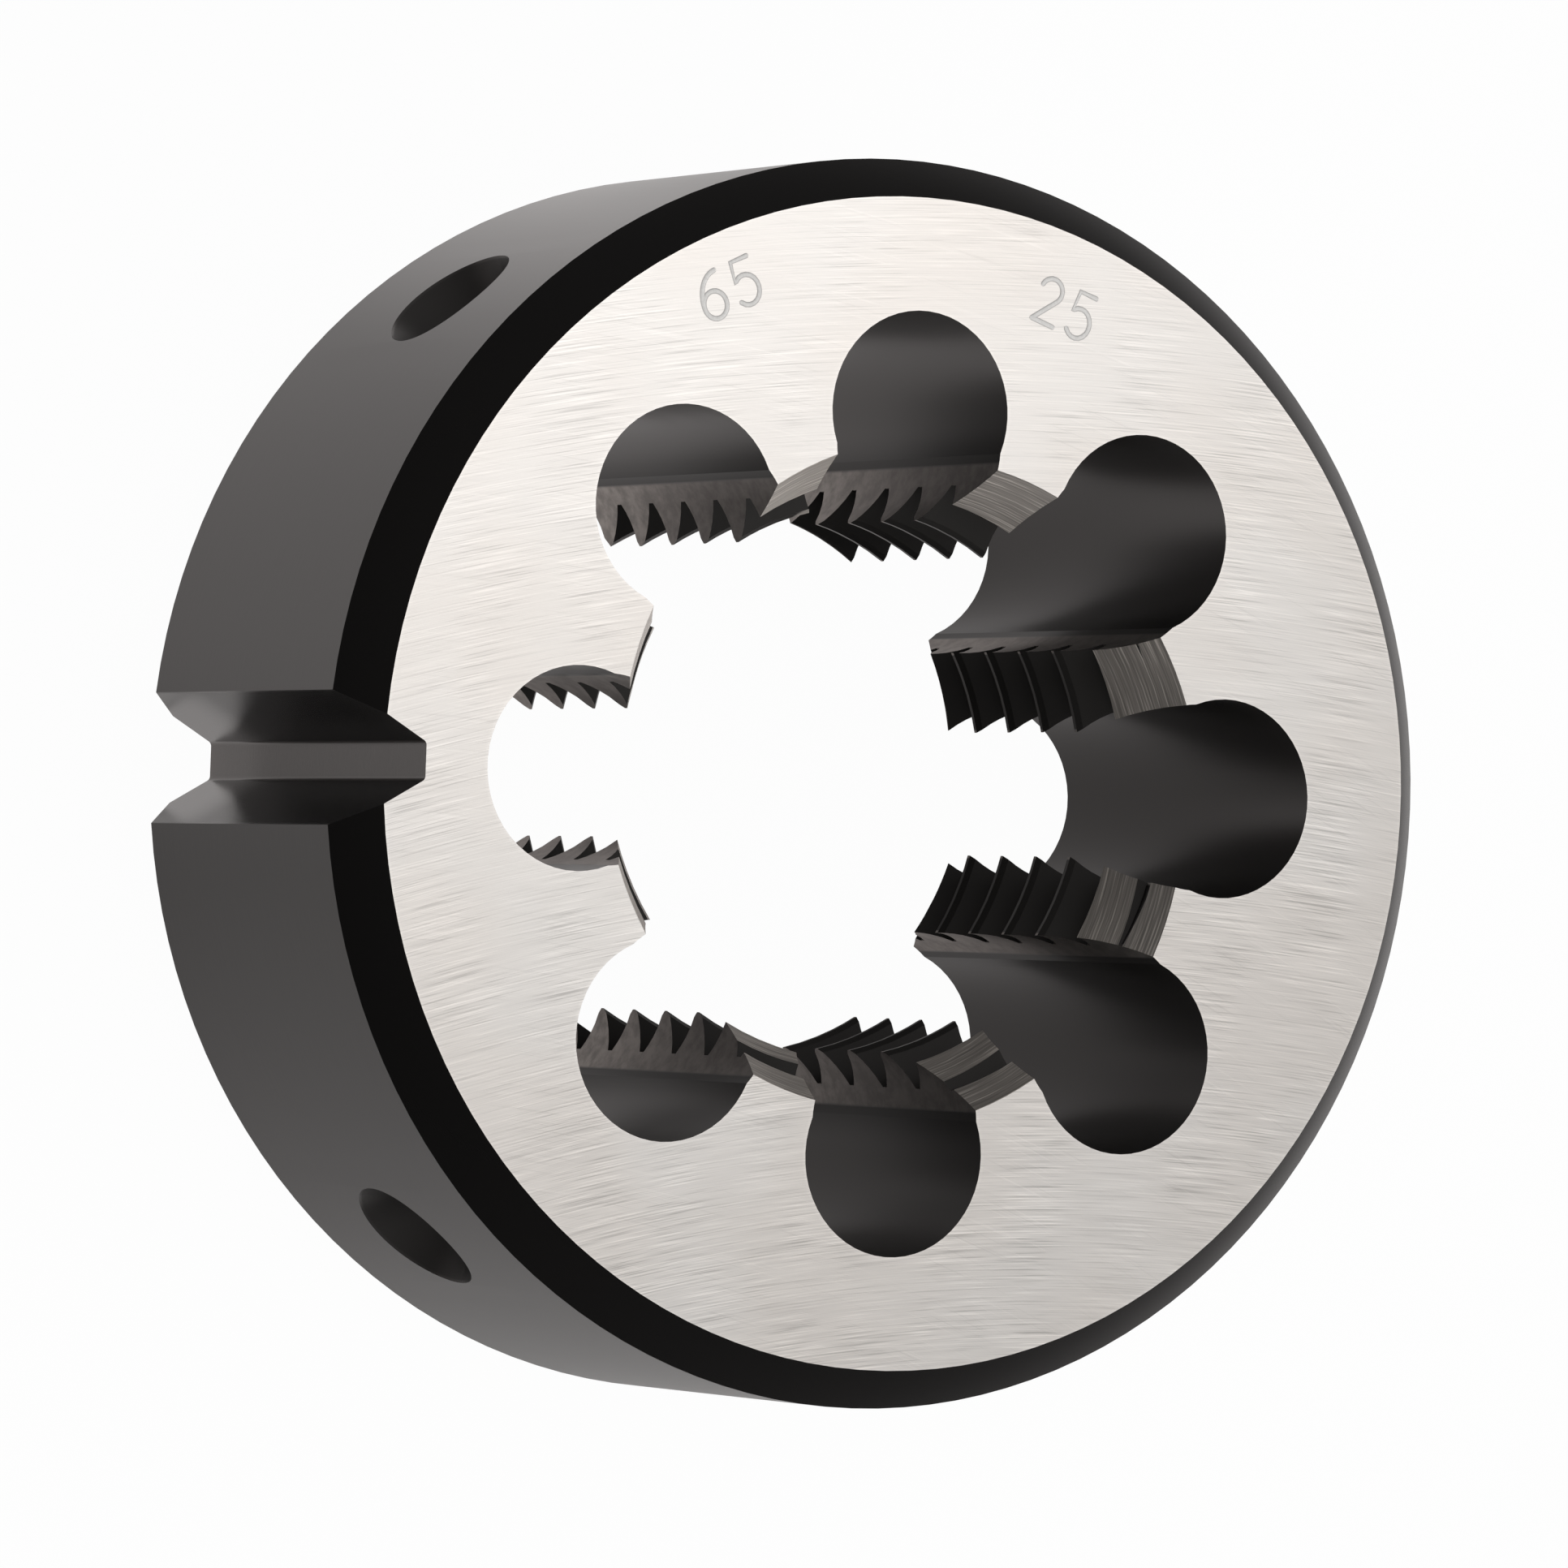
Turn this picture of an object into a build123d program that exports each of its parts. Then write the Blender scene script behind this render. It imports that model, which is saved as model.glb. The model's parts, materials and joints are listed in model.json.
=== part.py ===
from build123d import *
from math import ceil, cos, radians, sin, tan
import os

# Round threading die, one hardened steel disc that cuts a right-hand metric thread.
# Millimetres. The origin is on the axis at the back face, +Z points to the marked front face,
# and the locating notch is on -X. Angles are counted anticlockwise from +X, seen from the front.

# Disc
disc_diameter = 65.0
thickness = 24.7
rim_chamfer_radial = 2.08
front_rim_chamfer_axial = 2.27
back_rim_chamfer_axial = 1.97

# Thread that the die cuts
thread_diameter = 33.0
thread_pitch = 3.5
thread_angle = 60.0
tooth_height_in_pitches = 0.607
groove_flat_in_pitches = 1 / 8
crest_flat_in_pitches = 0.07
crest_bevel_in_pitches = 1 / 16 # height of the bevel on both sides of a crest
tooth_crest_height = 0.58       # height of a tooth crest at angle 0, above the back face

# Conical lead at both ends, relieved behind each cutting edge
lead_mouth_oversize = 0.9       # radial, at the face, beyond the thread's own radius
lead_angle = 60.0
lead_relief = 1.3               # distance between a lead's own axis and the die's axis

# Chip holes, each with a ground hook where it opens into the thread
chip_hole_count = 8
chip_hole_diameter = 10.5
chip_hole_setback = 2.8         # from the thread's own radius out to the hole's centre
hook_diameter = 9.8
hook_setback = 1.1              # from the thread's own radius out to the hook's centre

# Locating notch in the rim
notch_angle = 60.0
notch_floor_width = 1.9
notch_depth = 4.45
notch_corner_radius = 0.3

# Conical screw seats in the rim, one pair beside the notch and one pair across from it
seat_diameter = 7.6
seat_cone_angle = 60.0
seat_depth = 4.5
seat_angle = 45.0
notch_seat_offset = 2.33        # how far the axes of the pair beside the notch pass from the die's axis

# Worked out from the sizes above
notch_direction = 180.0         # the notch and one chip hole lie in this direction
margin = 1.0                    # how far cutters run past the faces that they open
disc_radius = disc_diameter / 2
thread_radius = thread_diameter / 2
sector = 360 / chip_hole_count
first_land = notch_direction + sector / 2
middle = (0, 0, thickness / 2)

# Section of the thread, whose depth, flats and bevels follow the pitch
flank_slope = tan(radians(thread_angle / 2))
groove_flat = groove_flat_in_pitches * thread_pitch
crest_flat = crest_flat_in_pitches * thread_pitch
crest_bevel = crest_bevel_in_pitches * thread_pitch
tooth_height = tooth_height_in_pitches * thread_pitch
crest_radius = thread_radius - tooth_height


# One groove, from the middle of one crest to the middle of the next
with BuildSketch() as groove_section:
    flank_height = tooth_height - crest_bevel
    flank_end = groove_flat / 2 + flank_height * flank_slope
    with BuildLine():
        Polyline(
            (thread_radius, 0),
            (thread_radius, groove_flat / 2),
            (thread_radius - flank_height, flank_end),
            (crest_radius, (thread_pitch - crest_flat) / 2),
            (crest_radius, 0),
        )
        mirror(about=Plane.XZ)
    make_face()


# Cutter for the thread of one land, a comb of all its grooves on a back that passes through the bore
cutter_arc = 0.8 * sector
cutter_turns = ceil(thickness / thread_pitch) + 2
bore_radius = crest_radius - margin

with BuildPart() as thread_cutter:
    with BuildLine() as thread_path:
        Helix(pitch=thread_pitch, height=thread_pitch * cutter_arc / 360, radius=crest_radius)
    with BuildSketch(Plane.XZ):
        with Locations((crest_radius, (cutter_turns - 1) / 2 * thread_pitch)):
            Rectangle(2 * margin, cutter_turns * thread_pitch, align=(Align.MAX, Align.CENTER))
        with Locations(*[(0, turn * thread_pitch) for turn in range(cutter_turns)]):
            add(groove_section.sketch)
    sweep(path=thread_path.wires()[0], is_frenet=True)


# Cutter for the front lead of a land centred on +X, a cone set off towards the land's heel
lead_slope = tan(radians(lead_angle / 2))
mouth_radius = thread_radius + lead_mouth_oversize
lead_depth = (mouth_radius - crest_radius) / lead_slope

with BuildPart() as lead_cutter:
    with BuildSketch(Plane.XZ.offset(lead_relief)):
        with BuildLine():
            Polyline(
                (0, thickness - lead_depth - margin),
                (crest_radius - lead_slope * margin, thickness - lead_depth - margin),
                (mouth_radius + lead_slope * margin, thickness + margin),
                (0, thickness + margin),
                close=True,
            )
        make_face()
    revolve(axis=Axis((0, -lead_relief, 0), (0, 0, 1)))
    # Keep the cone within the land's own sector
    with BuildSketch(Plane.XY.offset(thickness - lead_depth - margin)):
        sector_half_width = disc_radius * tan(radians(sector / 2))
        with BuildLine():
            Polyline(
                (0, 0),
                (disc_radius, -sector_half_width),
                (disc_radius, sector_half_width),
                close=True,
            )
        make_face()
    extrude(amount=lead_depth + 2 * margin, mode=Mode.INTERSECT)


# The die
with BuildPart() as round_die:
    # Disc with its chamfered rims, turned from the notch's side so that the notch takes its seam away
    with BuildSketch(Plane(origin=(0, 0, 0), x_dir=(-1, 0, 0), z_dir=(0, 1, 0))):
        with BuildLine():
            Polyline(
                (0, 0),
                (disc_radius - rim_chamfer_radial, 0),
                (disc_radius, back_rim_chamfer_axial),
                (disc_radius, thickness - front_rim_chamfer_axial),
                (disc_radius - rim_chamfer_radial, thickness),
                (0, thickness),
                close=True,
            )
        make_face()
    revolve(axis=Axis.Z)

    # Bore, chip holes and ground hooks
    with BuildSketch(Plane.XY):
        Circle(bore_radius)
        with PolarLocations(thread_radius + chip_hole_setback, chip_hole_count, notch_direction):
            Circle(chip_hole_diameter / 2)
        with PolarLocations(thread_radius + hook_setback, chip_hole_count, notch_direction):
            Circle(hook_diameter / 2)
    extrude(amount=thickness, mode=Mode.SUBTRACT)

    # Notch with a flat floor
    with BuildSketch(Plane.XY) as notch_outline:
        notch_spread = (notch_depth + margin) * tan(radians(notch_angle / 2))
        with BuildLine():
            Polyline(
                (-disc_radius - margin, -notch_floor_width / 2 - notch_spread),
                (-disc_radius + notch_depth, -notch_floor_width / 2),
                (-disc_radius + notch_depth, notch_floor_width / 2),
                (-disc_radius - margin, notch_floor_width / 2 + notch_spread),
                close=True,
            )
        make_face()
        fillet(notch_outline.vertices().group_by(Axis.X)[-1], radius=notch_corner_radius)
    extrude(amount=thickness, mode=Mode.SUBTRACT)

    # Conical screw seats with a flat bottom
    seat_slope = tan(radians(seat_cone_angle / 2))
    for side in (-1, 1):
        for from_notch, offset in ((seat_angle, notch_seat_offset), (180 - seat_angle, 0)):
            direction = radians(notch_direction + side * from_notch)
            outward = Vector(cos(direction), sin(direction), 0)
            away_from_notch = Vector(-sin(direction), cos(direction), 0) * side
            bottom = Vector(*middle) + outward * (disc_radius - seat_depth) + away_from_notch * offset
            with Locations(Plane(origin=bottom, z_dir=outward)):
                Cone(
                    bottom_radius=seat_diameter / 2 - seat_depth * seat_slope,
                    top_radius=seat_diameter / 2 + margin * seat_slope,
                    height=seat_depth + margin,
                    align=(Align.CENTER, Align.CENTER, Align.MIN),
                    mode=Mode.SUBTRACT,
                )

    # Leads, the back one turned over so that its relief also lies behind the cutting edge
    for land in range(chip_hole_count):
        land_angle = first_land + land * sector
        back_lead = lead_cutter.part.rotate(Axis(middle, (1, 0, 0)), 180)
        add(lead_cutter.part.rotate(Axis.Z, land_angle), mode=Mode.SUBTRACT)
        add(back_lead.rotate(Axis.Z, land_angle), mode=Mode.SUBTRACT)

    # Thread, cut land by land so that every groove lies on one continuous helix
    land_places = []
    for land in range(chip_hole_count):
        start_angle = first_land + land * sector - cutter_arc / 2
        rise = tooth_crest_height + thread_pitch * (start_angle / 360 - 1 / 2)
        lowest = rise % thread_pitch - thread_pitch
        land_places.append(Location((0, 0, lowest), (0, 0, start_angle)))
    with Locations(*land_places):
        add(thread_cutter.part, mode=Mode.SUBTRACT)

round_die.part.label = "round_die"

os.makedirs("parts", exist_ok=True)
export_step(round_die.part, "parts/round_die.step")
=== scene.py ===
import json
from math import cos, hypot, pi, radians, sin

import bmesh
import bpy
from mathutils import Matrix, Vector

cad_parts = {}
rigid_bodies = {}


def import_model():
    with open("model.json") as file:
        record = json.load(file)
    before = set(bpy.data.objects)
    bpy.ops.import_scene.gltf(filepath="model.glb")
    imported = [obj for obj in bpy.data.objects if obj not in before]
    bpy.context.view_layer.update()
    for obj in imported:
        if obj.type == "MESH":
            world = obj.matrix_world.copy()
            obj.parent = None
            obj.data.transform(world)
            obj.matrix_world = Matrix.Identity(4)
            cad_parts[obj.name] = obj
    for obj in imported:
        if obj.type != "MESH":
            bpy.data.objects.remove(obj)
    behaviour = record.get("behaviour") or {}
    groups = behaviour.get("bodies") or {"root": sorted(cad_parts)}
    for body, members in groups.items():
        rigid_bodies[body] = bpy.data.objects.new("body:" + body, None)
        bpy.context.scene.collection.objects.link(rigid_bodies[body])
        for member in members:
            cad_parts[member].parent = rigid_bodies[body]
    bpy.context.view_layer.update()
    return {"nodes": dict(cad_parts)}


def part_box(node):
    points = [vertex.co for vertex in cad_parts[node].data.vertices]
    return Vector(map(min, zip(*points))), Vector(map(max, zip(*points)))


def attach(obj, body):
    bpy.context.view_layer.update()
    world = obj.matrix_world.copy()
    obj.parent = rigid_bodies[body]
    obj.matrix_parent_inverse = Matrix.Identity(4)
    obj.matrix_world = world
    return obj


# Looks for a round threading die that lies on its back face, marked face up, notch towards -X.
# Metres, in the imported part's frame. Names that end in _MM hold millimetres on the die.

for leftover in list(bpy.data.objects):
    bpy.data.objects.remove(leftover)

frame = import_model()
die = frame["nodes"]["round_die"]
die_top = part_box("round_die")[1].z
MM = 0.001
FACE_MM = die_top / MM

# Sizes of the die that its finish follows
RIM_RADIUS_MM = 32.5
CHAMFER_START_MM = 30.42
NOTCH_FLOOR_MM = 28.05
NOTCH_REACH_MM = 4.0
SEAT_BOTTOM_MM = 26.5
THREAD_RADIUS_MM = 16.5
LEAD_MOUTH_MM = 17.4
LEAD_SLOPE = 0.57735
LEAD_RELIEF_MM = 1.3
HOLE_COUNT = 8
HOLE_CENTRE_MM = 19.3
HOLE_RADIUS_MM = 5.25
HOOK_CENTRE_MM = 17.6
HOOK_RADIUS_MM = 4.9
HOOK_END_MM = 16.9


# Camera, at the photograph's place
PHOTO_SIZE = 1932
FOCAL_PX = 12324.2
FACE_CENTRE_PX = (1117.54, 965.59)
FACE_DISTANCE = 0.518253
SIGHT_ANGLE = radians(29.356)
SIGHT_SWING = radians(0.029)
CAMERA_ROLL = radians(0.043)
DIE_TURN = radians(2.35)
SENSOR = 36.0


def make_camera():
    """A camera whose line of sight leans from the die's axis towards the notch."""
    to_camera = Vector((
        -sin(SIGHT_ANGLE) * cos(SIGHT_SWING),
        sin(SIGHT_SWING),
        cos(SIGHT_ANGLE) * cos(SIGHT_SWING),
    ))
    level = Vector((0, 1, 0)).cross(to_camera).normalized()
    rise = to_camera.cross(level)
    right = cos(CAMERA_ROLL) * level + sin(CAMERA_ROLL) * rise
    up = cos(CAMERA_ROLL) * rise - sin(CAMERA_ROLL) * level
    metres_per_px = FACE_DISTANCE / FOCAL_PX
    off_right = (FACE_CENTRE_PX[0] - PHOTO_SIZE / 2) * metres_per_px
    off_down = (FACE_CENTRE_PX[1] - PHOTO_SIZE / 2) * metres_per_px
    turned = Matrix((right, up, to_camera)).transposed().to_4x4()
    turned.translation = to_camera * FACE_DISTANCE - right * off_right + up * off_down
    data = bpy.data.cameras.new("camera")
    data.sensor_width = SENSOR
    data.lens = FOCAL_PX * SENSOR / PHOTO_SIZE
    camera = bpy.data.objects.new("camera", data)
    bpy.context.scene.collection.objects.link(camera)
    on_face = Matrix.Translation((0, 0, die_top))
    camera.matrix_world = on_face @ Matrix.Rotation(DIE_TURN, 4, "Z") @ turned
    bpy.context.scene.camera = camera


# The usual range of a noise's values
NOISE_SPAN = (0.3, 0.7)


class Nodes:
    """Short ways to build the nodes of one material or world."""

    def __init__(self, owner):
        owner.use_nodes = True
        self.tree = owner.node_tree
        self.tree.nodes.clear()

    def put(self, socket, value):
        """Links a socket to another, or sets its own value."""
        if isinstance(value, bpy.types.NodeSocket):
            self.tree.links.new(value, socket)
        elif socket.type == "RGBA" and len(value) == 3:
            socket.default_value = (*value, 1.0)
        else:
            socket.default_value = value

    def add(self, kind, inputs=None, **settings):
        node = self.tree.nodes.new(kind)
        for name, value in settings.items():
            setattr(node, name, value)
        for name, value in (inputs or {}).items():
            self.put(node.inputs[name], value)
        return node

    def finish(self, kind, surface):
        """The output node of a material or a world."""
        self.add(kind, {"Surface": surface.outputs[0]})

    def coordinates(self, kind):
        return self.add("ShaderNodeTexCoord").outputs[kind]

    def parts(self, vector):
        return self.add("ShaderNodeSeparateXYZ", {"Vector": vector}).outputs

    def math(self, operation, *values):
        node = self.add("ShaderNodeMath", operation=operation)
        for socket, value in zip(node.inputs, values):
            self.put(socket, value)
        return node.outputs[0]

    def times(self, first, *others):
        for other in others:
            first = self.math("MULTIPLY", first, other)
        return first

    def plus(self, first, *others):
        for other in others:
            first = self.math("ADD", first, other)
        return first

    def minus(self, first, other):
        return self.math("SUBTRACT", first, other)

    def over(self, first, other):
        return self.math("DIVIDE", first, other)

    def either(self, first, *others):
        for other in others:
            first = self.math("MAXIMUM", first, other)
        return first

    def without(self, first, other):
        return self.times(first, self.minus(1.0, other))

    def apart(self, first, other):
        return self.math("ABSOLUTE", self.minus(first, other))

    def length(self, x, y):
        return self.math("SQRT", self.plus(self.times(x, x), self.times(y, y)))

    def vector(self, x, y, z=0.0):
        return self.add("ShaderNodeCombineXYZ", {"X": x, "Y": y, "Z": z}).outputs[0]

    def ramp(self, value, low, high, to_low=0.0, to_high=1.0, smooth=True):
        """A value carried from one range to another, and held at the ends."""
        kind = "SMOOTHSTEP" if smooth else "LINEAR"
        inputs = {"Value": value, "From Min": low, "From Max": high, "To Min": to_low, "To Max": to_high}
        return self.add("ShaderNodeMapRange", inputs, interpolation_type=kind).outputs[0]

    def below(self, value, limit, soft):
        return self.ramp(value, limit - soft, limit + soft, 1.0, 0.0)

    def above(self, value, limit, soft):
        return self.ramp(value, limit - soft, limit + soft)

    def near(self, value, middle, reach, soft):
        """1 where a value is within reach of the middle, and 0 outside."""
        return self.below(self.apart(value, middle), reach, soft)

    def noise(self, place, detail=2.0, roughness=0.5, scale=1.0, flat=False):
        inputs = {"Vector": place, "Scale": scale, "Detail": detail, "Roughness": roughness}
        dimensions = "2D" if flat else "3D"
        return self.add("ShaderNodeTexNoise", inputs, noise_dimensions=dimensions).outputs["Fac"]

    def spread(self, noise, low, high, smooth=True):
        """A noise carried from its usual range to another."""
        return self.ramp(noise, *NOISE_SPAN, low, high, smooth)

    def mix(self, factor, first, second):
        inputs = {"Factor": factor, "A": first, "B": second}
        return self.add("ShaderNodeMix", inputs, data_type="FLOAT").outputs["Result"]

    def tint(self, factor, first, second):
        """A mix of two colours."""
        node = self.add("ShaderNodeMix", data_type="RGBA")
        colours = [socket for socket in node.inputs if socket.type == "RGBA"]
        self.put(node.inputs["Factor"], factor)
        self.put(colours[0], first)
        self.put(colours[1], second)
        return next(socket for socket in node.outputs if socket.type == "RGBA")

    def scaled(self, colour, value):
        """A colour or a place, times a number."""
        node = self.add("ShaderNodeVectorMath", operation="SCALE")
        self.put(node.inputs[0], colour)
        self.put(node.inputs["Scale"], value)
        return node.outputs[0]


# Levels, the Z share of a surface's normal: 0 on a wall and 1 on a face. How far each may differ,
# and how soft its limits are
WALL_LEVEL = 0.2
WALL_SOFT = 0.05
FACE_LEVEL = 0.95
FACE_SOFT = 0.01
LEAD_LEVEL = 0.5
LEAD_SPREAD = 0.1
CHAMFER_LEVEL = 0.675
CHAMFER_SPREAD = 0.05
SLOPE_SOFT = 0.02

# Bands up and down from the disc's middle, margins past an edge of the die, and soft limits
CHAMFER_BAND_MM = 9.5
SEAT_BAND_MM = 4.2
MARGIN_MM = 0.12
THREAD_MARGIN_MM = 0.15
GROOVE_MARGIN_MM = 0.1
MOUTH_MARGIN_MM = 0.1
CONE_MARGIN_MM = 0.06
CONE_SOFT_MM = 0.02
HARD_MM = 0.03
SOFT_MM = 0.05
SOFTER_MM = 0.1
WIDE_MM = 0.2


class Surface:
    """Where a point of the die's surface lies, in millimetres, and which finish it has."""

    def __init__(self, n):
        self.place = n.scaled(n.coordinates("Object"), 1 / MM)
        self.x, self.y, self.z = n.parts(self.place)
        self.radius = n.length(self.x, self.y)
        self.angle = n.math("ARCTAN2", self.y, self.x)
        normal = n.add("ShaderNodeNewGeometry").outputs["True Normal"]
        level = n.math("ABSOLUTE", n.parts(normal)["Z"])
        from_middle = n.apart(self.z, FACE_MM / 2)

        # Along and across the radius through the nearest chip hole, and through the nearest land
        sector = 2 * pi / HOLE_COUNT
        sectors = n.over(self.angle, sector)
        outward, across = self.fold(n, n.times(n.math("ROUND", sectors), sector))
        land, beside = self.fold(n, n.times(n.plus(n.math("FLOOR", sectors), 0.5), sector))
        from_hook = n.length(n.minus(outward, HOOK_CENTRE_MM), across)
        from_hole = n.length(n.minus(outward, HOLE_CENTRE_MM), across)

        # How far a point lies from the cones of the two leads, whose axes are set off towards the heel
        front_axis = n.length(land, n.plus(beside, LEAD_RELIEF_MM))
        back_axis = n.length(land, n.plus(beside, -LEAD_RELIEF_MM))
        from_front = n.plus(front_axis, -LEAD_MOUTH_MM + FACE_MM * LEAD_SLOPE)
        from_back = n.plus(back_axis, -LEAD_MOUTH_MM)
        rise = n.times(self.z, LEAD_SLOPE)
        on_front = n.near(n.minus(from_front, rise), 0.0, CONE_MARGIN_MM, CONE_SOFT_MM)
        on_back = n.near(n.plus(from_back, rise), 0.0, CONE_MARGIN_MM, CONE_SOFT_MM)

        # Faces and slopes
        self.flat = n.above(level, FACE_LEVEL, FACE_SOFT)
        lead_slope = n.near(level, LEAD_LEVEL, LEAD_SPREAD, SLOPE_SOFT)
        self.lead = n.times(lead_slope, n.either(on_front, on_back))
        outer = n.above(self.radius, CHAMFER_START_MM - WIDE_MM, SOFT_MM)
        ends = n.above(from_middle, CHAMFER_BAND_MM, WIDE_MM)
        chamfer_slope = n.near(level, CHAMFER_LEVEL, CHAMFER_SPREAD, SLOPE_SOFT)
        self.chamfer = n.times(chamfer_slope, outer, ends)

        # Walls, and the thread as what is left in the bore
        upright = n.below(level, WALL_LEVEL, WALL_SOFT)
        self.rim = n.times(upright, n.above(self.radius, RIM_RADIUS_MM - MARGIN_MM, SOFT_MM))
        hook_wall = n.times(upright, n.near(from_hook, HOOK_RADIUS_MM, MARGIN_MM, HARD_MM))
        self.hook = n.times(hook_wall, n.below(outward, HOOK_END_MM, SOFTER_MM))
        self.beyond_hook = n.minus(outward, HOOK_END_MM)
        inside = n.below(self.radius, THREAD_RADIUS_MM + THREAD_MARGIN_MM, SOFT_MM)
        groove = n.above(self.radius, THREAD_RADIUS_MM - GROOVE_MARGIN_MM, HARD_MM)
        bare = n.either(self.hook, self.flat, self.lead, n.times(upright, groove))
        self.thread = n.without(inside, bare)

        # Notch and screw seats
        inner = n.below(self.radius, RIM_RADIUS_MM - MOUTH_MARGIN_MM, HARD_MM)
        at_notch = n.times(n.below(self.x, WIDE_MM - NOTCH_FLOOR_MM, SOFT_MM), inner)
        self.notch = n.times(upright, at_notch, n.near(self.y, 0.0, NOTCH_REACH_MM, SOFTER_MM))
        self.notch_floor = n.times(self.notch, n.above(self.x, -NOTCH_FLOOR_MM - MARGIN_MM, SOFT_MM))
        under_rim = n.below(self.radius, RIM_RADIUS_MM - MARGIN_MM, SOFT_MM)
        pocket = n.times(n.above(self.radius, SEAT_BOTTOM_MM, SOFTER_MM), under_rim)
        self.seat = n.without(n.times(pocket, n.below(from_middle, SEAT_BAND_MM, SOFTER_MM)), self.notch)

        # How far a point of a face lies from the nearest chip hole, and from the rim's chamfer
        self.to_hole = n.math(
            "MINIMUM",
            n.minus(from_hole, HOLE_RADIUS_MM),
            n.minus(from_hook, HOOK_RADIUS_MM),
        )
        self.to_rim = n.minus(CHAMFER_START_MM, self.radius)

    def fold(self, n, direction):
        """How far a point lies along and across a direction from the axis."""
        turned = n.minus(self.angle, direction)
        along = n.times(self.radius, n.math("COSINE", turned))
        return along, n.times(self.radius, n.math("SINE", turned))


# Grinding marks of the two faces: long thin lines on arcs around far centres
GRINDING_CENTRE_MM = (11.0, -144.0)
CROSSING_CENTRE_MM = (-32.0, -118.0)
LINES_PER_MM = 12.5
LINE_STRETCH = 75.0
CROSSING_SHARE = 0.7
CROSSING_SHIFT = 40.0
BROAD_PER_MM = 1.4
BROAD_STRETCH = 16.0
BROAD_SHIFT = 90.0
FINE_SHARE = 0.75
PATCH_SCALE = 0.22
PATCH_SPAN = (0.35, 0.65)
PATCH_STRENGTH = (0.6, 1.4)

# Ranges of the line noise that show as dark and as light lines, and how much they change the face
DARK_SPAN = (0.4, 0.3)
DARK_CROSSING_SPAN = (0.36, 0.27)
DARK_CROSSING = 0.5
LIGHT_SPAN = (0.6, 0.7)
LIGHT_CROSSING_SPAN = (0.64, 0.72)
LIGHT_CROSSING = 0.6
GRAIN_CHANGE = 0.09
LIGHT_CHANGE = 0.08
DARK_CHANGE = -0.12
FACE_ROUGHNESS = (0.32, 0.41)

# Edges of the faces a little brighter: a painted highlight, and partly wear
HOLE_EDGE_MM = 0.22
RIM_EDGE_MM = 0.25
EDGE_WEAR_AND_HIGHLIGHT = 0.05


def arcs(n, surface, centre):
    """Distance from a far centre, and the way around it, in millimetres."""
    dx = n.minus(surface.x, centre[0])
    dy = n.minus(surface.y, centre[1])
    return n.length(dx, dy), n.times(n.math("ARCTAN2", dx, dy), hypot(*centre))


def lines(n, across, along, per_mm, stretch, shift=0.0, detail=2.0):
    """Thin, long, broken lines, as noise between 0 and 1."""
    place = n.vector(n.times(across, per_mm), n.plus(n.times(along, per_mm / stretch), shift))
    return n.noise(place, detail=detail, roughness=0.6, flat=True)


def ground_face(n, s):
    """Brightness and roughness of the two faces, where grinding left thin dark and light lines."""
    ring, around = arcs(n, s, GRINDING_CENTRE_MM)
    crossing_ring, crossing_around = arcs(n, s, CROSSING_CENTRE_MM)
    fine = lines(n, ring, around, LINES_PER_MM, LINE_STRETCH)
    crossing_per_mm = CROSSING_SHARE * LINES_PER_MM
    crossing = lines(n, crossing_ring, crossing_around, crossing_per_mm, LINE_STRETCH, CROSSING_SHIFT)
    broad = lines(n, ring, around, BROAD_PER_MM, BROAD_STRETCH, BROAD_SHIFT)
    patches = n.noise(s.place, detail=1.0, scale=PATCH_SCALE)

    grain = n.plus(n.times(fine, FINE_SHARE), n.times(broad, 1.0 - FINE_SHARE))
    strength = n.ramp(patches, *PATCH_SPAN, *PATCH_STRENGTH)
    dark_crossing = n.times(n.ramp(crossing, *DARK_CROSSING_SPAN), DARK_CROSSING)
    light_crossing = n.times(n.ramp(crossing, *LIGHT_CROSSING_SPAN), LIGHT_CROSSING)
    dark = n.either(n.ramp(fine, *DARK_SPAN), dark_crossing)
    light = n.either(n.ramp(fine, *LIGHT_SPAN), light_crossing)
    change = n.plus(
        n.spread(grain, -GRAIN_CHANGE, GRAIN_CHANGE, smooth=False),
        n.times(light, LIGHT_CHANGE),
        n.times(dark, DARK_CHANGE),
    )
    # Painted highlight, partly wear: the faces brighter along the edges of the holes and of the chamfer
    edge_wear_and_highlight = n.either(n.ramp(s.to_hole, HOLE_EDGE_MM, 0.0), n.ramp(s.to_rim, RIM_EDGE_MM, 0.0))
    bright = n.plus(1.0, n.times(change, strength), n.times(edge_wear_and_highlight, EDGE_WEAR_AND_HIGHLIGHT))
    return bright, n.spread(grain, *FACE_ROUGHNESS, smooth=False), fine


# Turning marks, and the cloudiness of the finishes
TURNED_PER_MM = 11.0
TURNED_STRETCH = 70.0
TURNED_SHIFT = 20.0
MOTTLE_SCALE = 1.2
CLOUD_SCALE = 0.1

# Colours of the bare steel and of the oxide
FACE_COLOURS = ((0.708, 0.669, 0.632), (0.718, 0.687, 0.656))
LEAD_COLOUR = (0.215, 0.197, 0.179)
HOOK_COLOUR = (0.132, 0.122, 0.113)
RIM_COLOUR = (0.0108, 0.0102, 0.0098)
OXIDE_COLOUR = (0.0065, 0.006, 0.0057)
CHAMFER_COLOUR = (0.0035, 0.0033, 0.0032)
NOTCH_FLOOR_COLOUR = (0.045, 0.038, 0.0345)
THREAD_COLOUR = (0.02, 0.019, 0.018)
SPECULAR_TINT = (1.0, 0.93, 0.905)
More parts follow.
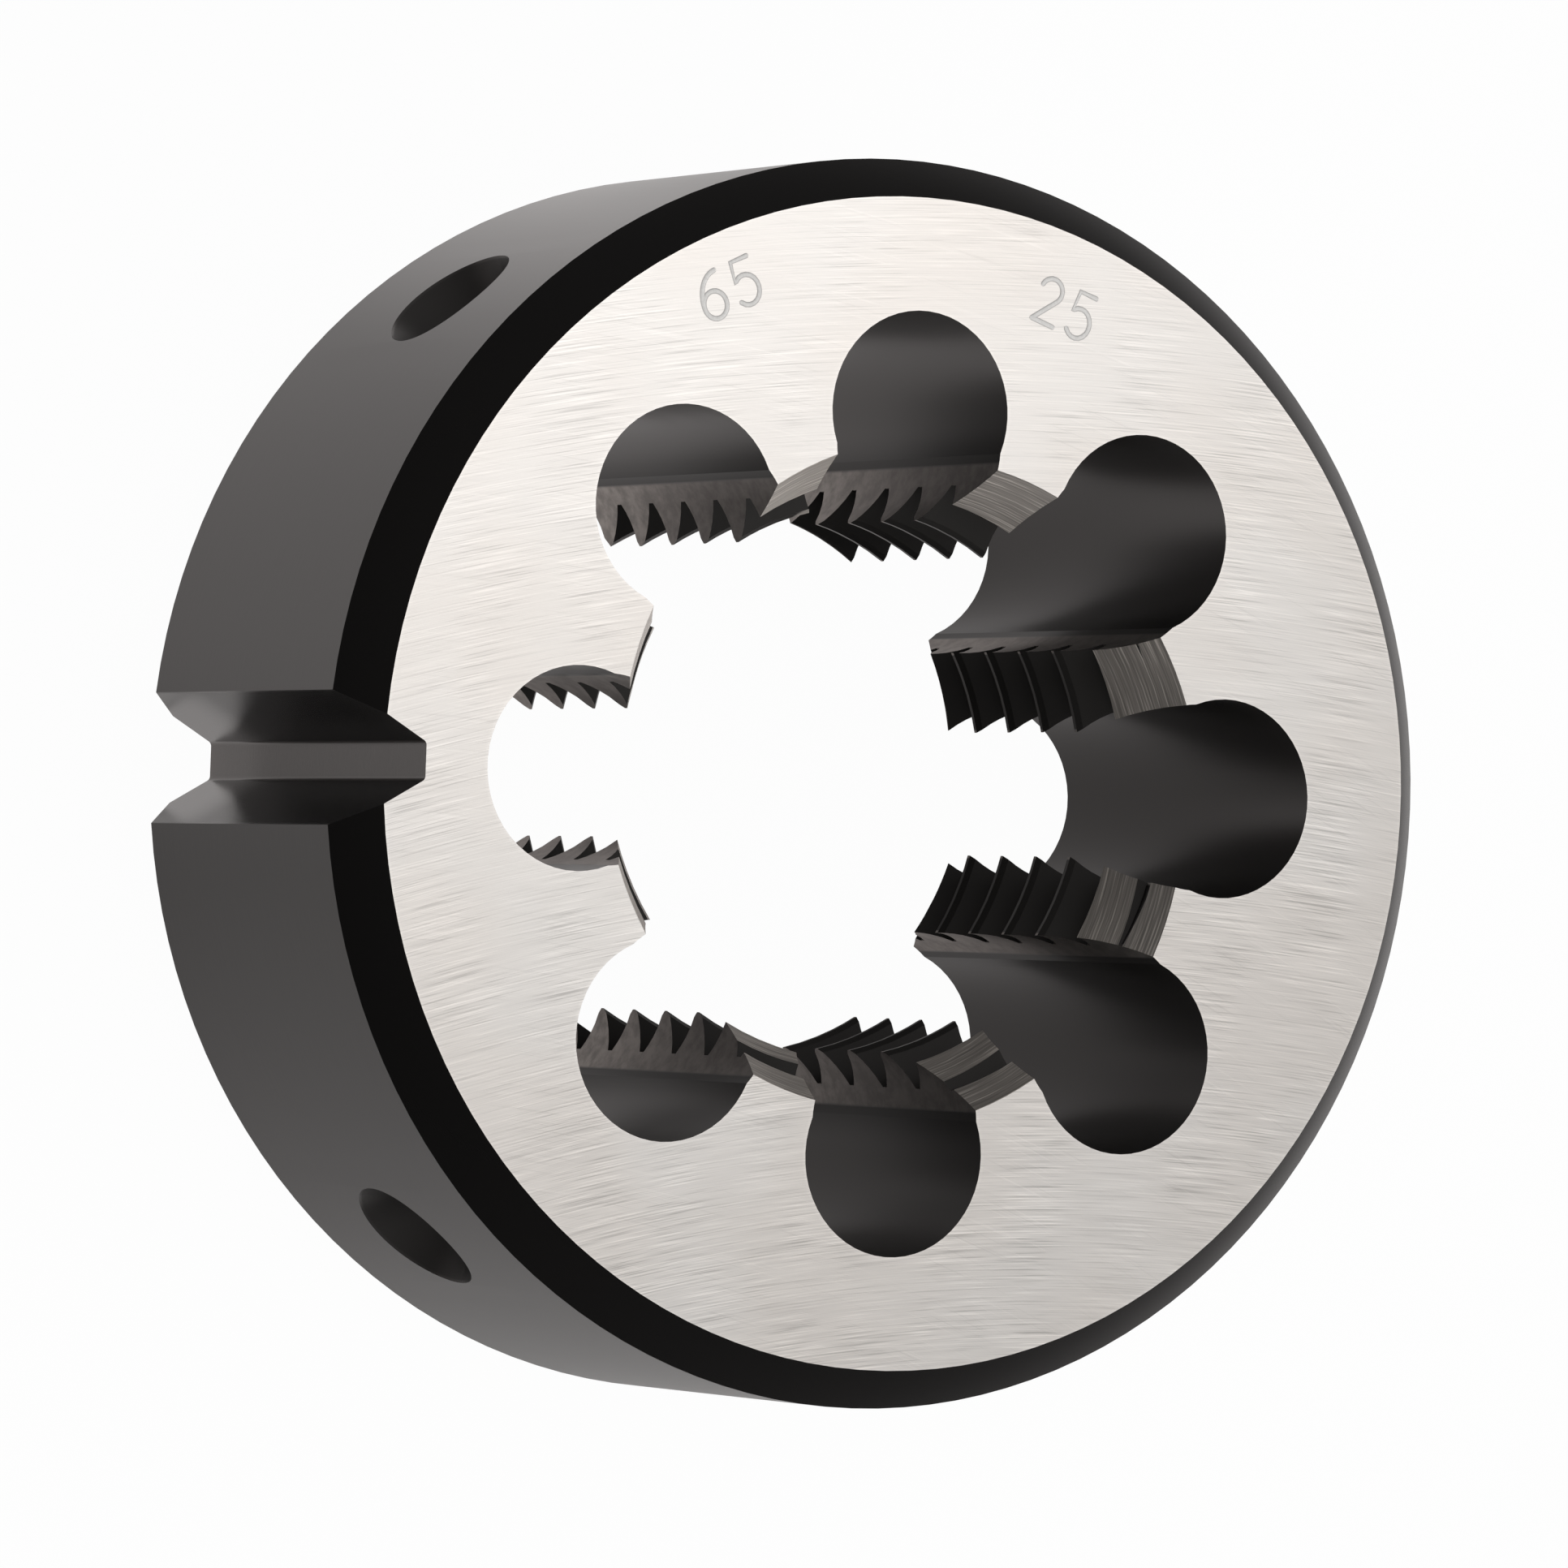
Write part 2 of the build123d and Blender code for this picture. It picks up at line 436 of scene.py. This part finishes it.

# How these vary: with the turning marks, with the mottle, and over millimetres of the die.
# The leads and hooks are painted brightest on the notch's side, and the hooks brighter towards the back
# face: both painted light
LEAD_LEVELS = (0.6, 1.4)
LEAD_SHINE_SPAN = (0.58, 0.68)
LEAD_SHINE = 0.8
HOOK_MOTTLE = (0.65, 1.35)
HOOK_LIGHT_SPAN_MM = (4.0, 18.0)
HOOK_LIGHT_LEVELS = (1.35, 0.6)
LIT_SIDE_SPAN_MM = (-16.0, 0.0)
LIT_SIDE_LEVELS = (1.5, 1.0)
RIM_LEVELS = (0.85, 1.15)

# Metal, roughness and specular level. The chamfer, the thread and the seats are a deeper black; the
# notch's walls near the front and the hole walls next to the hooks are darker as painted shade
LEAD_METAL = 0.2
HOOK_METAL = 0.5
BARE_ROUGHNESS = 0.4
OXIDE_ROUGHNESS = 0.32
SEAT_ROUGHNESS = 0.45
SMOOTH_ROUGHNESS = 0.24
BARE_SPECULAR = 1.0
OXIDE_SPECULAR = 0.5
NOTCH_SPECULAR = 0.13
DEEP_SPECULAR = 0.12
THREAD_DEPTH = 0.8
SEAT_DEPTH = 0.3
NOTCH_SHADE_SPAN_MM = (3.0, 8.0)
WALL_SHADE_SPAN_MM = (0.0, 2.2)
WALL_SHADE_LEVELS = (0.4, 1.0)

# Relief of the lines, and a slight crown across the chamfer
TURNED_RELIEF = 0.4
RELIEF_STRENGTH = 0.3
RELIEF_MM = 0.01
CHAMFER_CROWN = 0.035


def die_material():
    """Black oxide, with the two faces, the leads and the hooks ground to bare steel."""
    material = bpy.data.materials.new("die_steel")
    n = Nodes(material)
    s = Surface(n)
    bright, face_rough, face_lines = ground_face(n, s)
    around = n.times(s.angle, s.radius)
    turned = lines(n, s.z, around, TURNED_PER_MM, TURNED_STRETCH, TURNED_SHIFT, detail=3.0)
    mottle = n.noise(s.place, detail=3.0, roughness=0.6, scale=MOTTLE_SCALE)
    clouds = n.noise(s.place, detail=1.0, scale=CLOUD_SCALE)
    # Painted light: the leads and hooks brighter on the notch's side (-X)
    lit_side = n.ramp(s.x, *LIT_SIDE_SPAN_MM, *LIT_SIDE_LEVELS)

    face = n.scaled(n.tint(n.ramp(clouds, *PATCH_SPAN), *FACE_COLOURS), bright)
    shine = n.times(n.ramp(turned, *LEAD_SHINE_SPAN), LEAD_SHINE)
    lead_lines = n.plus(n.spread(turned, *LEAD_LEVELS, smooth=False), shine)
    lead = n.scaled(LEAD_COLOUR, n.times(lead_lines, lit_side))
    hook = n.scaled(HOOK_COLOUR, n.spread(mottle, *HOOK_MOTTLE))
    # Painted light from below: the hooks brighter towards the back face
    hook = n.scaled(hook, n.times(n.ramp(s.z, *HOOK_LIGHT_SPAN_MM, *HOOK_LIGHT_LEVELS), lit_side))
    rim = n.scaled(RIM_COLOUR, n.spread(turned, *RIM_LEVELS))

    colour = n.tint(s.rim, OXIDE_COLOUR, rim)
    for mask, finish in (
        (s.chamfer, CHAMFER_COLOUR),
        (s.notch_floor, NOTCH_FLOOR_COLOUR),
        (s.thread, THREAD_COLOUR),
        (s.hook, hook),
        (s.lead, lead),
        (s.flat, face),
    ):
        colour = n.tint(mask, colour, finish)

    metal = n.either(s.flat, n.times(s.lead, LEAD_METAL), n.times(s.hook, HOOK_METAL))
    bare_rough = n.mix(s.flat, BARE_ROUGHNESS, face_rough)
    dark_rough = n.mix(s.seat, OXIDE_ROUGHNESS, SEAT_ROUGHNESS)
    dark_rough = n.mix(n.either(s.chamfer, s.notch), dark_rough, SMOOTH_ROUGHNESS)
    rough = n.mix(n.either(s.flat, s.lead, s.hook), dark_rough, bare_rough)

    deep = n.either(s.chamfer, n.times(s.thread, THREAD_DEPTH), n.times(s.seat, SEAT_DEPTH))
    # Painted shade: less specular level on the notch's walls near the front, and on the hole walls next
    # to the hooks
    notch_front_shade = n.without(n.times(s.notch, n.ramp(s.z, *NOTCH_SHADE_SPAN_MM)), s.notch_floor)
    beside_hook_shade = n.ramp(s.beyond_hook, *WALL_SHADE_SPAN_MM, *WALL_SHADE_LEVELS)
    specular = n.times(n.mix(notch_front_shade, OXIDE_SPECULAR, NOTCH_SPECULAR), beside_hook_shade)
    specular = n.mix(deep, specular, DEEP_SPECULAR)
    specular = n.mix(n.either(s.lead, s.hook), specular, BARE_SPECULAR)

    relief = n.add("ShaderNodeBump", {
        "Height": n.mix(s.flat, n.times(turned, TURNED_RELIEF), face_lines),
        "Strength": RELIEF_STRENGTH,
        "Distance": RELIEF_MM * MM,
    })
    crown = n.add("ShaderNodeBump", {
        "Height": n.times(s.chamfer, s.to_rim, n.minus(s.radius, RIM_RADIUS_MM), CHAMFER_CROWN),
        "Strength": 1.0,
        "Distance": MM,
        "Normal": relief.outputs[0],
    })
    shader = n.add("ShaderNodeBsdfPrincipled", {
        "Base Color": colour,
        "Metallic": metal,
        "Roughness": rough,
        "Specular IOR Level": specular,
        "Specular Tint": SPECULAR_TINT,
        "Normal": crown.outputs[0],
    })
    n.finish("ShaderNodeOutputMaterial", shader)
    return material


# Plain numbers on the marked face: text, distance from the axis in millimetres, and direction
NUMBERS = (("65", 27.5, radians(115.0)), ("25", 26.6, radians(71.4)))
MARK_WIDTH_MM = 0.28
MARK_EDGE_MM = 0.09
MARK_HEIGHT_MM = 2.4
MARK_ADVANCE_MM = 2.1
MARK_RISE_MM = 0.01
MARK_STEP_MM = 0.002
MARK_EDGE_RISE_MM = 0.002
MARK_DEPTH_MM = 0.05
MARK_CORE = 0.3
MARK_CAP = (30, 55, 75, 88)
MARK_COLOUR = (0.69, 0.675, 0.655)
MARK_EDGE_COLOUR = (0.38, 0.365, 0.355)
MARK_SPECULAR = 0.3
MARK_ROUGHNESS = (0.6, 0.7)
MARK_GRAIN_SCALE = 9.0
MARK_GRAIN = (0.95, 1.05)


def arc(centre, radii, start, end, steps=14):
    """Points on an ellipse's arc, from one angle in degrees to another."""
    turns = [radians(start + (end - start) * k / steps) for k in range(steps + 1)]
    return [(centre[0] + radii[0] * cos(t), centre[1] + radii[1] * sin(t)) for t in turns]


# Strokes of each digit, in a box one unit high
DIGIT_WIDTH = 0.58
DIGITS = {
    "2": [arc((0.29, 0.73), (0.27, 0.27), 165, -40) + [(0.02, 0.0)], [(0.02, 0.0), (0.58, 0.0)]],
    "5": [[(0.52, 1.0), (0.1, 1.0), (0.05, 0.56)] + arc((0.27, 0.32), (0.3, 0.33), 130, -140)],
    "6": [
        arc((0.3, 0.3), (0.28, 0.3), 0, 180),
        arc((0.3, 0.3), (0.28, 0.3), 180, 360),
        arc((0.56, 0.3), (0.54, 0.7), 180, 92),
    ],
}


def add_stroke(mesh, points, place, rise):
    """A closed low ribbon with round ends, along points in millimetres on the face."""
    half = MARK_WIDTH_MM / 2
    points = [Vector(p) for p in points]
    ways = [(b - a).normalized() for a, b in zip(points, points[1:])]
    stations = []
    for k, point in enumerate(points):
        way = (ways[max(k - 1, 0)] + ways[min(k, len(ways) - 1)]).normalized()
        stations.append((point, way, half))
    cap = [radians(angle) for angle in MARK_CAP]
    first, last = stations[0], stations[-1]
    before = [(first[0] - first[1] * half * sin(t), first[1], half * cos(t)) for t in reversed(cap)]
    after = [(last[0] + last[1] * half * sin(t), last[1], half * cos(t)) for t in cap]
    rings = []
    for point, way, reach in before + stations + after:
        side = Vector((-way.y, way.x))
        inner = max(reach - MARK_EDGE_MM, reach * MARK_CORE)
        section = (
            (-reach, -MARK_DEPTH_MM),
            (-reach, MARK_EDGE_RISE_MM),
            (-inner, rise),
            (inner, rise),
            (reach, MARK_EDGE_RISE_MM),
            (reach, -MARK_DEPTH_MM),
        )
        ring = []
        for offset, height in section:
            flat = point + side * offset
            ring.append(mesh.verts.new(place @ Vector((flat.x, flat.y, height)) * MM))
        rings.append(ring)
    for one, two in zip(rings, rings[1:]):
        for k in range(len(one)):
            following = (k + 1) % len(one)
            mesh.faces.new((one[k], one[following], two[following], two[k]))
    mesh.faces.new(rings[0])
    mesh.faces.new(list(reversed(rings[-1])))


def mark_material():
    """Etched steel: pale matt grey, a little darker along the edges of each stroke."""
    material = bpy.data.materials.new("etched_marks")
    n = Nodes(material)
    place = n.scaled(n.coordinates("Object"), 1 / MM)
    middle = n.ramp(n.parts(place)["Z"], FACE_MM + MARK_EDGE_RISE_MM, FACE_MM + MARK_RISE_MM)
    grain = n.noise(place, detail=2.0, scale=MARK_GRAIN_SCALE)
    colour = n.tint(middle, MARK_EDGE_COLOUR, MARK_COLOUR)
    shader = n.add("ShaderNodeBsdfPrincipled", {
        "Base Color": n.scaled(colour, n.spread(grain, *MARK_GRAIN)),
        "Metallic": 0.0,
        "Roughness": n.spread(grain, *MARK_ROUGHNESS),
        "Specular IOR Level": MARK_SPECULAR,
    })
    n.finish("ShaderNodeOutputMaterial", shader)
    return material


def etch_numbers():
    """The numbers as one piece on the face, each read from the bore outwards."""
    shape = bmesh.new()
    for text, radius, angle in NUMBERS:
        origin = Vector((radius * cos(angle), radius * sin(angle), FACE_MM))
        place = Matrix.Translation(origin) @ Matrix.Rotation(angle - pi / 2, 4, "Z")
        width = MARK_ADVANCE_MM * (len(text) - 1) + DIGIT_WIDTH * MARK_HEIGHT_MM
        for k, digit in enumerate(text):
            left = k * MARK_ADVANCE_MM - width / 2
            for order, stroke in enumerate(DIGITS[digit]):
                points = [(left + x * MARK_HEIGHT_MM, (y - 0.5) * MARK_HEIGHT_MM) for x, y in stroke]
                add_stroke(shape, points, place, MARK_RISE_MM + order * MARK_STEP_MM)
    bmesh.ops.recalc_face_normals(shape, faces=shape.faces)
    mesh = bpy.data.meshes.new("size_marks")
    shape.to_mesh(mesh)
    shape.free()
    mesh.materials.append(mark_material())
    marks = bpy.data.objects.new("size_marks", mesh)
    bpy.context.scene.collection.objects.link(marks)
    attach(marks, "root")


# Studio. The camera sees a white floor and sky. Mirrored rays see the floor as a lit sheet that darkens
# further out and is brighter on the window's side (+Y), and the sky as a dome that darkens towards the
# horizon. Matt steel sees a soft dome, brightest low on the +X -Y side.
SKY_LOW = 0.24
SKY_HIGH = 0.58
SKY_TILT = 0.35
SKY_SPAN = (0.0, 0.9)
SOFT_FROM = (0.6, -0.65, -0.35)
SOFT_SPAN = (0.2, 0.8)
SOFT_LEVELS = (0.3, 6.0)

FLOOR_SIZE = 3.0
FLOOR_LEVEL = -0.02 * MM
FLOOR_WHITE = 0.975
FLOOR_GLOSS = 0.5
FLOOR_MATT = (0.6, 0.6, 0.6)
FLOOR_TINT = (1.0, 0.962, 0.952)
WHITE = (1.0, 1.0, 1.0)

# The sheet by distance from the die's axis, and by direction
SHEET_REACH = (0.045, 0.068)
SHEET_NEAR = 0.055
SHEET_FAR = 0.25
SHEET_FALL = 3.0
SIDE_SPAN = (-0.25, 0.25)
SIDE_LEVELS = (0.83, 1.42)
FAR_SPAN = (-0.3, 0.3)
FAR_LEVEL = 0.95
WINDOW_SPAN = (0.7, 1.0)
WINDOW_LIGHT = 1.45

# The floor under the die's chip holes, and under its bore
UNDER_REACH = 0.031
UNDER_SOFT = 0.5 * MM
HOLE_SPAN = (-0.01, 0.015)
HOLE_LEVELS = (0.47, 0.85)
BORE_REACH = 0.0135
BORE_SOFT = 2.5 * MM
BORE_SPAN = (-0.007, 0.009)
BORE_LEVELS = (0.2, 0.85)

KEY_AZIMUTH = 54
KEY_ELEVATION = 64
KEY_DISTANCE = 0.25
KEY_SIZE = 0.2
KEY_WATTS = 0.114


def background_rays(n):
    """Two masks: rays that see the background from the camera or through glass, and reflected rays."""
    path = n.add("ShaderNodeLightPath")
    seen = n.either(path.outputs["Is Camera Ray"], path.outputs["Is Transmission Ray"])
    return seen, path.outputs["Is Glossy Ray"]


def make_world():
    """White to the camera, a dome to mirrored rays, and a soft dome to the rest."""
    world = bpy.data.worlds.new("studio")
    n = Nodes(world)
    seen, glossy = background_rays(n)
    towards = n.parts(n.coordinates("Generated"))
    height = n.plus(towards["Z"], n.times(towards["Y"], SKY_TILT))
    dome = n.ramp(height, *SKY_SPAN, SKY_LOW, SKY_HIGH)
    from_side = n.plus(*(n.times(part, share) for part, share in zip(towards, SOFT_FROM)))
    soft = n.ramp(from_side, *SOFT_SPAN, *SOFT_LEVELS)
    strength = n.mix(seen, n.mix(glossy, soft, dome), 1.0)
    background = n.add("ShaderNodeBackground", {"Color": WHITE, "Strength": strength})
    n.finish("ShaderNodeOutputWorld", background)
    bpy.context.scene.world = world


def sheet_level(n, x, y, distance):
    """How bright the floor looks from the die: beyond it, under its chip holes, and through its bore."""
    fall = n.math("POWER", n.math("MINIMUM", n.over(SHEET_NEAR, distance), 1.0), SHEET_FALL)
    sheet = n.plus(SHEET_FAR, n.times(fall, 1.0 - SHEET_FAR))
    side = n.over(y, distance)
    far = n.ramp(n.over(x, distance), *FAR_SPAN)
    sides = n.mix(far, n.ramp(side, *SIDE_SPAN, *SIDE_LEVELS), FAR_LEVEL)
    beyond = n.times(sheet, sides, n.ramp(side, *WINDOW_SPAN, 1.0, WINDOW_LIGHT))
    holes = n.ramp(n.minus(y, x), *HOLE_SPAN, *HOLE_LEVELS, smooth=False)
    bore = n.ramp(y, *BORE_SPAN, *BORE_LEVELS)
    under = n.mix(n.below(distance, BORE_REACH, BORE_SOFT), holes, bore)
    return n.mix(n.below(distance, UNDER_REACH, UNDER_SOFT), beyond, under)


def make_floor():
    """A white floor that keeps a faint shadow of the die."""
    material = bpy.data.materials.new("floor")
    n = Nodes(material)
    seen, glossy = background_rays(n)
    place = n.parts(n.coordinates("Object"))
    distance = n.length(place["X"], place["Y"])
    shining = n.times(glossy, n.ramp(distance, *SHEET_REACH, FLOOR_GLOSS, 1.0))
    shining = n.either(shining, n.below(distance, UNDER_REACH, UNDER_SOFT))
    level = n.mix(seen, sheet_level(n, place["X"], place["Y"], distance), 1.0)
    pale = n.add("ShaderNodeBsdfDiffuse", {"Color": FLOOR_MATT})
    white = n.add("ShaderNodeEmission", {"Color": n.tint(seen, FLOOR_TINT, WHITE), "Strength": level})
    surface = n.add("ShaderNodeMixShader", {
        0: n.mix(seen, shining, FLOOR_WHITE),
        1: pale.outputs[0],
        2: white.outputs[0],
    })
    n.finish("ShaderNodeOutputMaterial", surface)
    mesh = bpy.data.meshes.new("floor")
    corners = ((-1, -1), (1, -1), (1, 1), (-1, 1))
    half = FLOOR_SIZE / 2
    mesh.from_pydata([(x * half, y * half, FLOOR_LEVEL) for x, y in corners], [], [(0, 1, 2, 3)])
    mesh.materials.append(material)
    floor = bpy.data.objects.new("floor", mesh)
    bpy.context.scene.collection.objects.link(floor)


def make_key():
    """A round lamp above the die, on the window's side."""
    turn, rise = radians(KEY_AZIMUTH), radians(KEY_ELEVATION)
    outward = Vector((cos(rise) * cos(turn), cos(rise) * sin(turn), sin(rise)))
    data = bpy.data.lights.new("key", "AREA")
    data.shape = "DISK"
    data.size = KEY_SIZE
    data.energy = KEY_WATTS
    lamp = bpy.data.objects.new("key", data)
    lamp.location = outward * KEY_DISTANCE
    lamp.rotation_euler = outward.to_track_quat("Z", "Y").to_euler()
    lamp.visible_camera = False
    bpy.context.scene.collection.objects.link(lamp)


bpy.context.scene.view_settings.view_transform = "Standard"
make_camera()
make_world()
make_floor()
make_key()
die.material_slots[0].material = die_material()
etch_numbers()
